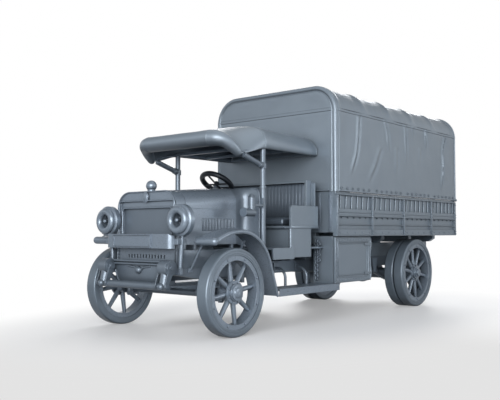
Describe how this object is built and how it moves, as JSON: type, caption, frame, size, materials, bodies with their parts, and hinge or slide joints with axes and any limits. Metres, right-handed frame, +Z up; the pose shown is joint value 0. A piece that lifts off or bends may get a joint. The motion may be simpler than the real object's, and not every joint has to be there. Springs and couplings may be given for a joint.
{
  "type": "military cargo lorry",
  "caption": "Early bonneted army cargo lorry on solid tyres, open cab under a canvas canopy, drop-tail bed under a laced canvas tilt.",
  "frame": {"origin": "on the ground under the middle of the overall box", "axes": "+X to the lorry's left, +Y to its rear, +Z up; the radiator faces -Y"},
  "size_m": [2.048, 6.217, 3.033],
  "materials": {
    "painted_steel": "satin blue-grey",
    "painted_iron": "satin blue-grey",
    "painted_timber": "satin blue-grey paint",
    "canvas": "proofed canvas, painted blue-grey",
    "tyre": "satin blue-grey",
    "seat_leather": "satin blue-grey"
  },
  "bodies": {
    "chassis": {"chassis_rails": "painted_iron", "cross_members": "painted_iron", "front_springs": "painted_iron", "rear_springs": "painted_iron", "front_axle": "painted_iron", "rear_axle": "painted_iron", "engine": "painted_iron", "gearbox": "painted_iron", "propeller_shaft": "painted_iron", "radiator_shell": "painted_steel", "radiator_core": "painted_iron", "headlamps": "painted_steel", "front_board": "painted_steel", "bonnet_sides": "painted_steel", "bonnet_rod": "painted_steel", "scuttle": "painted_steel", "side_lamps": "painted_steel", "cab_floor": "painted_timber", "canopy_posts": "painted_steel", "canopy_bows": "painted_steel", "canopy": "canvas", "seat_frame": "painted_timber", "seat_cushion": "seat_leather", "seat_back_pad": "seat_leather", "steering_column": "painted_iron", "control_levers": "painted_iron", "fenders": "painted_steel", "running_boards": "painted_steel", "step_brackets": "painted_iron", "lockers": "painted_timber", "bed_bolsters": "painted_timber", "bed_bearers": "painted_timber", "bed_floor": "painted_timber", "bed_sides": "painted_timber", "bed_headboard": "painted_timber", "tilt_hoops": "painted_timber", "tilt_cover": "canvas", "tilt_lacing": "canvas"},
    "knuckle_left": {"knuckle_left": "painted_iron"},
    "knuckle_right": {"knuckle_right": "painted_iron"},
    "track_rod": {"track_rod": "painted_iron"},
    "drop_arm": {"drop_arm": "painted_iron"},
    "drag_link": {"drag_link": "painted_iron"},
    "steering_wheel": {"steering_wheel": "painted_steel"},
    "wheel_front_left": {"wheel_front_left": "painted_steel", "tyre_front_left": "tyre"},
    "wheel_front_right": {"wheel_front_right": "painted_steel", "tyre_front_right": "tyre"},
    "wheel_rear_left": {"wheel_rear_left": "painted_steel", "tyre_rear_left": "tyre"},
    "wheel_rear_right": {"wheel_rear_right": "painted_steel", "tyre_rear_right": "tyre"},
    "bonnet_left": {"bonnet_left": "painted_steel"},
    "bonnet_right": {"bonnet_right": "painted_steel"},
    "locker_door_left": {"locker_door_left": "painted_timber"},
    "locker_door_right": {"locker_door_right": "painted_timber"},
    "tailgate": {"tailgate": "painted_timber"}
  },
  "joints": [
    {"name": "steer_left", "type": "hinge", "parent": "chassis", "child": "knuckle_left", "pos_m": [0.745, -2.4495, 0.45], "axis": [0, 0, 1], "range_deg": [-28, 28]},
    {"name": "steer_right", "type": "hinge", "parent": "chassis", "child": "knuckle_right", "pos_m": [-0.745, -2.4495, 0.45], "axis": [0, 0, 1], "range_deg": [-28, 28]},
    {"name": "track_rod_swing", "type": "hinge", "parent": "knuckle_left", "child": "track_rod", "pos_m": [0.745, -2.2595, 0.398], "axis": [0, 0, 1], "range_deg": [-28, 28]},
    {"name": "drop_arm_swing", "type": "hinge", "parent": "chassis", "child": "drop_arm", "pos_m": [-0.578, -1.8095, 0.802], "axis": [1, 0, 0], "range_deg": [-28, 28]},
    {"name": "drag_link_swing", "type": "hinge", "parent": "drop_arm", "child": "drag_link", "pos_m": [-0.555, -1.8095, 0.612], "axis": [1, 0, 0], "range_deg": [-28, 28]},
    {"name": "steering_wheel_turn", "type": "hinge", "parent": "chassis", "child": "steering_wheel", "pos_m": [-0.47, -1.1945, 1.76], "axis": [0, 0.5599, 0.8285], "range_deg": [-224, 224]},
    {"name": "wheel_front_left_spin", "type": "hinge", "parent": "knuckle_left", "child": "wheel_front_left", "pos_m": [0.901, -2.4495, 0.475], "axis": [1, 0, 0], "continuous": true},
    {"name": "wheel_front_right_spin", "type": "hinge", "parent": "knuckle_right", "child": "wheel_front_right", "pos_m": [-0.901, -2.4495, 0.475], "axis": [1, 0, 0], "continuous": true},
    {"name": "wheel_rear_left_spin", "type": "hinge", "parent": "chassis", "child": "wheel_rear_left", "pos_m": [0.825, 1.7605, 0.508], "axis": [1, 0, 0], "continuous": true},
    {"name": "wheel_rear_right_spin", "type": "hinge", "parent": "chassis", "child": "wheel_rear_right", "pos_m": [-0.825, 1.7605, 0.508], "axis": [1, 0, 0], "continuous": true},
    {"name": "bonnet_left_lift", "type": "hinge", "parent": "chassis", "child": "bonnet_left", "pos_m": [0, -2.7155, 1.574], "axis": [0, -0.9971, -0.0761], "range_deg": [0, 70]},
    {"name": "bonnet_right_lift", "type": "hinge", "parent": "chassis", "child": "bonnet_right", "pos_m": [0, -2.7155, 1.574], "axis": [0, 0.9971, 0.0761], "range_deg": [0, 70]},
    {"name": "locker_door_left_swing", "type": "hinge", "parent": "chassis", "child": "locker_door_left", "pos_m": [0.996, 0.3235, 0.766], "axis": [0, 0, 1], "range_deg": [0, 110]},
    {"name": "locker_door_right_swing", "type": "hinge", "parent": "chassis", "child": "locker_door_right", "pos_m": [-0.996, 0.3235, 0.766], "axis": [0, 0, -1], "range_deg": [0, 110]},
    {"name": "tailgate_drop", "type": "hinge", "parent": "chassis", "child": "tailgate", "pos_m": [0, 3.0835, 1.136], "axis": [-1, 0, 0], "range_deg": [0, 180]}
  ],
  "couplings": [
    {"joint": "steer_right", "follows": "steer_left", "ratio": 1},
    {"joint": "track_rod_swing", "follows": "steer_left", "ratio": -1},
    {"joint": "drop_arm_swing", "follows": "steer_left", "ratio": 1},
    {"joint": "drag_link_swing", "follows": "steer_left", "ratio": -1},
    {"joint": "steering_wheel_turn", "follows": "steer_left", "ratio": 8}
  ]
}
